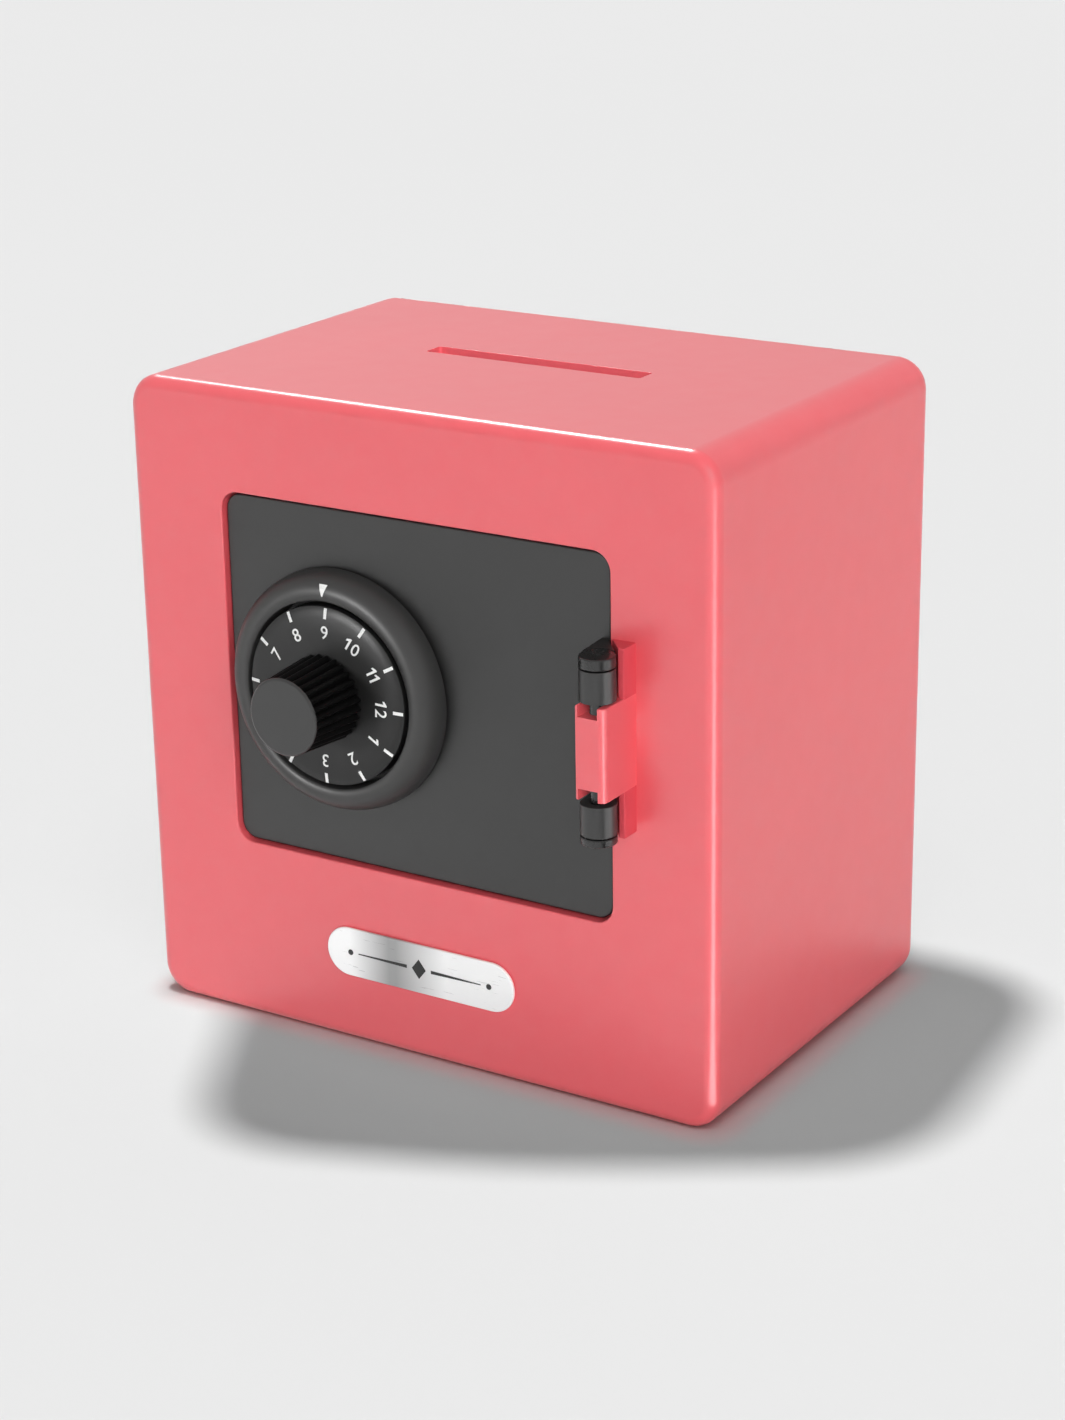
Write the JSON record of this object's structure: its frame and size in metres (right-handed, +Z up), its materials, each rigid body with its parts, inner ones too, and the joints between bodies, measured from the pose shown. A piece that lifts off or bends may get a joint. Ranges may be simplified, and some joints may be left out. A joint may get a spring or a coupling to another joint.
{
  "type": "toy safe coin bank",
  "caption": "Rounded box coin bank shaped like a small safe, with a top coin slot, a hinged front door and a turning combination dial.",
  "frame": {"origin": "on the table under the middle of the body", "axes": "+X to the right seen from the front, +Y towards the back, +Z up; the door faces -Y"},
  "size_m": [0.12, 0.0971, 0.12],
  "materials": {
    "coral_plastic": "semi-gloss moulded, coral red",
    "charcoal_plastic": "satin moulded, charcoal grey",
    "black_plastic": "matt moulded, black",
    "screw_steel": "zinc plated",
    "wheel_brass": "stamped",
    "plate_metal": "brushed, blank",
    "drag_felt": "felt"
  },
  "bodies": {
    "bank": {"body_shell": "coral_plastic", "rear_cover": "coral_plastic", "rear_cover_screw_top_left": "screw_steel", "rear_cover_screw_top_right": "screw_steel", "rear_cover_screw_bottom_left": "screw_steel", "rear_cover_screw_bottom_right": "screw_steel", "name_plate": "plate_metal", "lock_keeper": "black_plastic", "keeper_screw_upper": "screw_steel", "keeper_screw_lower": "screw_steel", "hinge_pin_upper": "charcoal_plastic", "hinge_pin_lower": "charcoal_plastic"},
    "door": {"door_panel": "charcoal_plastic", "dial_bezel": "charcoal_plastic", "lock_housing": "black_plastic", "housing_screw_right": "screw_steel", "housing_screw_upper": "screw_steel", "housing_screw_lower": "screw_steel"},
    "dial": {"dial_disc": "charcoal_plastic", "knob": "black_plastic", "spindle": "screw_steel", "drag_ring": "drag_felt", "spindle_washer": "screw_steel", "spindle_screw": "screw_steel", "drive_wheel": "wheel_brass"},
    "tumbler_middle": {"tumbler_wheel_middle": "wheel_brass"},
    "tumbler_rear": {"tumbler_wheel_rear": "wheel_brass"}
  },
  "joints": [
    {"name": "door_swing", "type": "hinge", "parent": "bank", "child": "door", "pos_m": [0.0417, -0.047, 0.068], "axis": [0, 0, 1], "range_deg": [0, 180]},
    {"name": "dial_turn", "type": "hinge", "parent": "door", "child": "dial", "pos_m": [-0.0154, -0.0447, 0.0681], "axis": [0, 1, 0], "continuous": true},
    {"name": "tumbler_middle_turn", "type": "hinge", "parent": "door", "child": "tumbler_middle", "pos_m": [-0.0154, -0.0447, 0.0681], "axis": [0, 1, 0], "continuous": true},
    {"name": "tumbler_rear_turn", "type": "hinge", "parent": "door", "child": "tumbler_rear", "pos_m": [-0.0154, -0.0447, 0.0681], "axis": [0, 1, 0], "continuous": true}
  ],
  "couplings": [
    {"joint": "tumbler_middle_turn", "follows": "dial_turn", "ratio": 1},
    {"joint": "tumbler_rear_turn", "follows": "dial_turn", "ratio": 1}
  ]
}
